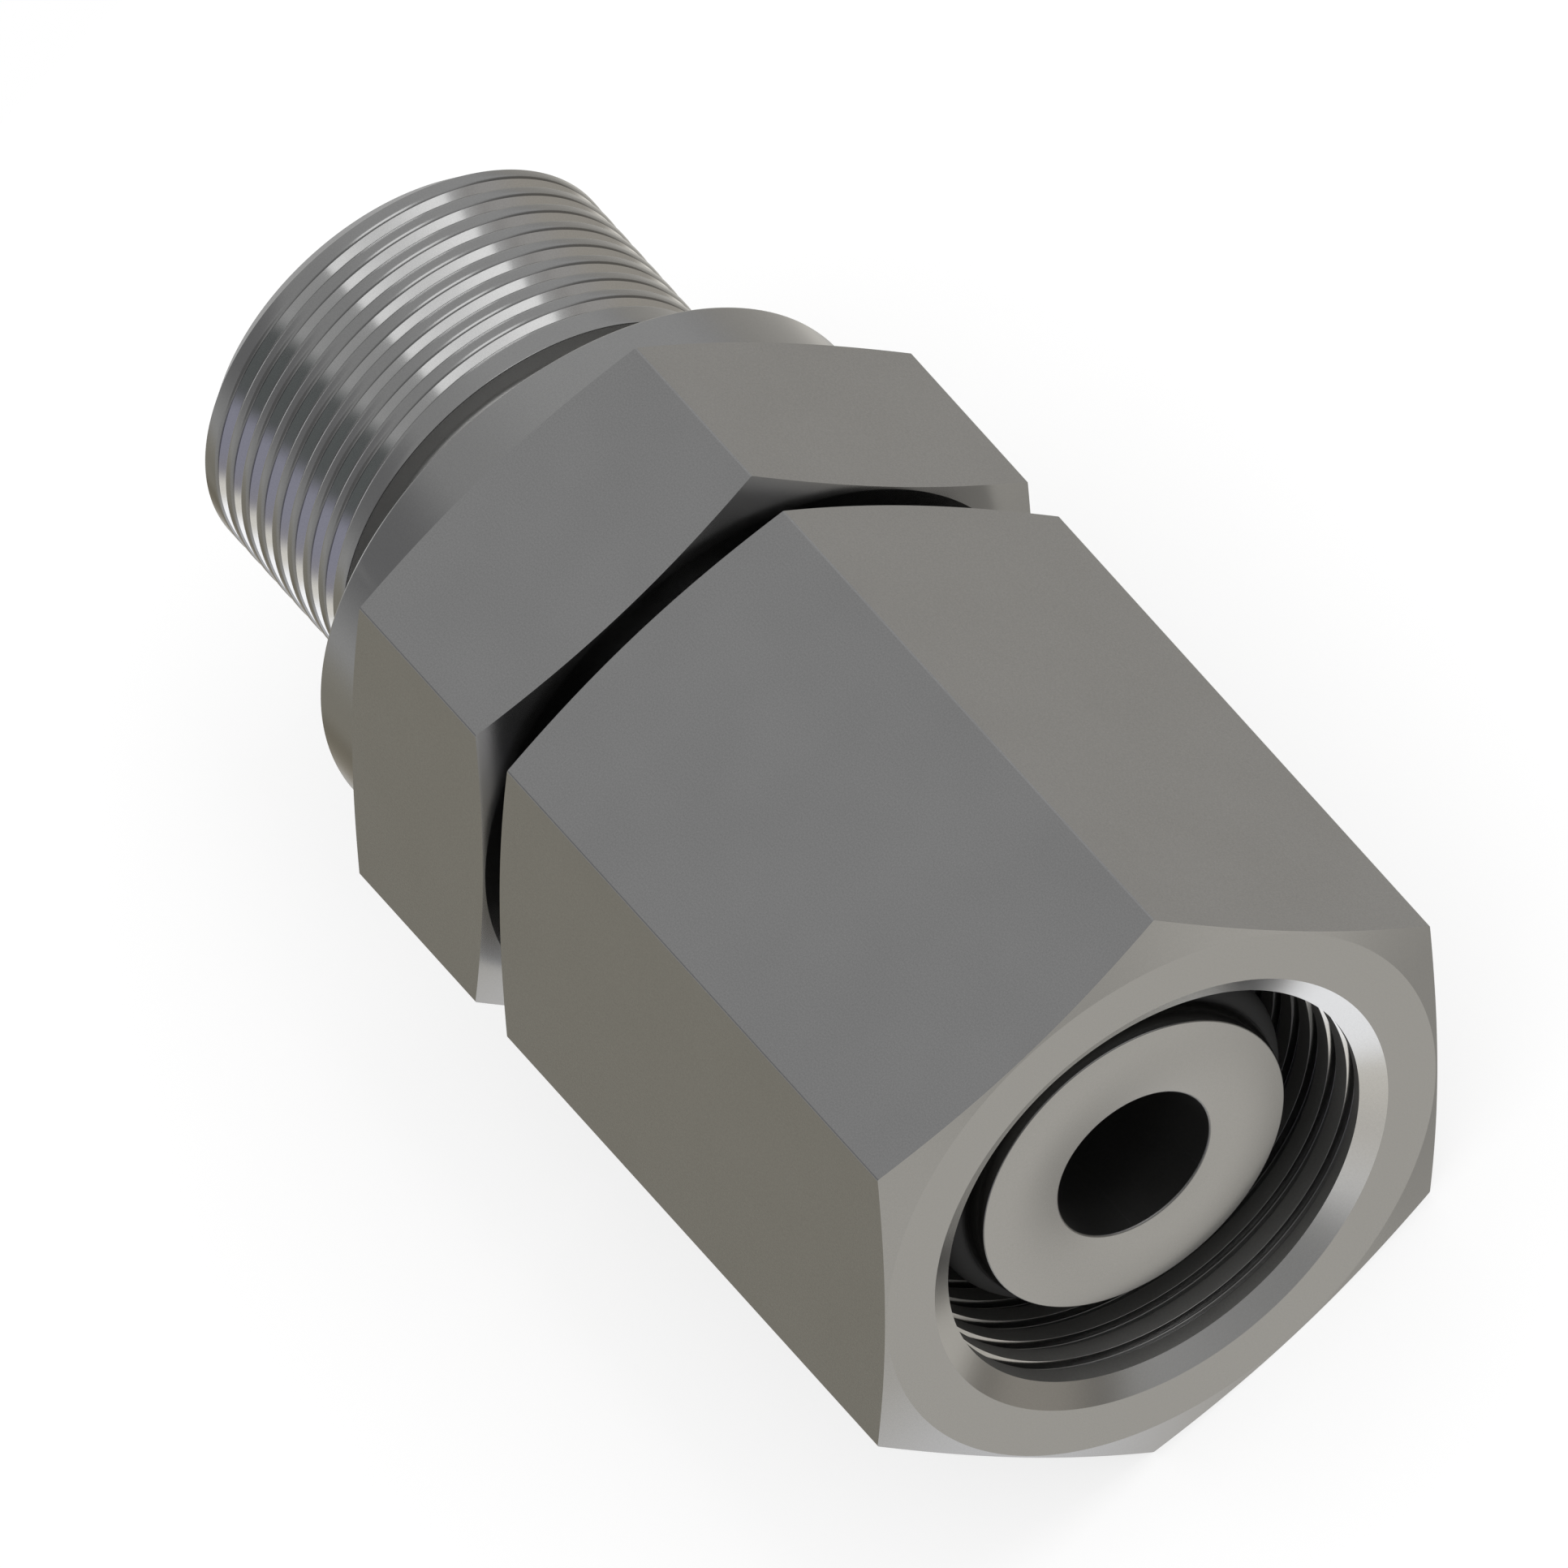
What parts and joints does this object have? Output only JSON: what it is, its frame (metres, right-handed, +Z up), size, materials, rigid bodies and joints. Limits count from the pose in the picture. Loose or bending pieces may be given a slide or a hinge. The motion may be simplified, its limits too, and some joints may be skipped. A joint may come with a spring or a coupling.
{
  "type": "swivel stud fitting",
  "caption": "Straight steel fluid fitting: threaded stud with collar and soft seal, hexagon body, and a swivel nut on a 24 degree cone nose.",
  "frame": {"origin": "where the flow bore's axis crosses the plane of the collar's sealing face", "axes": "+X along the fitting's axis from the threaded stud to the nut's open end, +Z up and square to a flat of both hexagons"},
  "size_m": [0.047, 0.0254, 0.022],
  "materials": {
    "body_steel": "satin turned steel, zinc plated",
    "nut_steel": "satin turned steel, zinc plated",
    "spring_wire": "drawn spring wire",
    "o_ring_rubber": "smooth moulded rubber",
    "seal_rubber": "smooth moulded rubber"
  },
  "bodies": {
    "stud": {"stud_body": "body_steel", "nose_o_ring": "o_ring_rubber", "stud_seal": "seal_rubber"},
    "ring": {"retaining_ring": "spring_wire"},
    "nut": {"swivel_nut": "nut_steel"}
  },
  "joints": [
    {"name": "nut_float", "type": "slide", "parent": "stud", "child": "ring", "axis": [1, 0, 0], "range_m": [-0.0009, 0]},
    {"name": "nut_spin", "type": "hinge", "parent": "ring", "child": "nut", "pos_m": [0.0231, 0, 0], "axis": [1, 0, 0], "continuous": true}
  ]
}
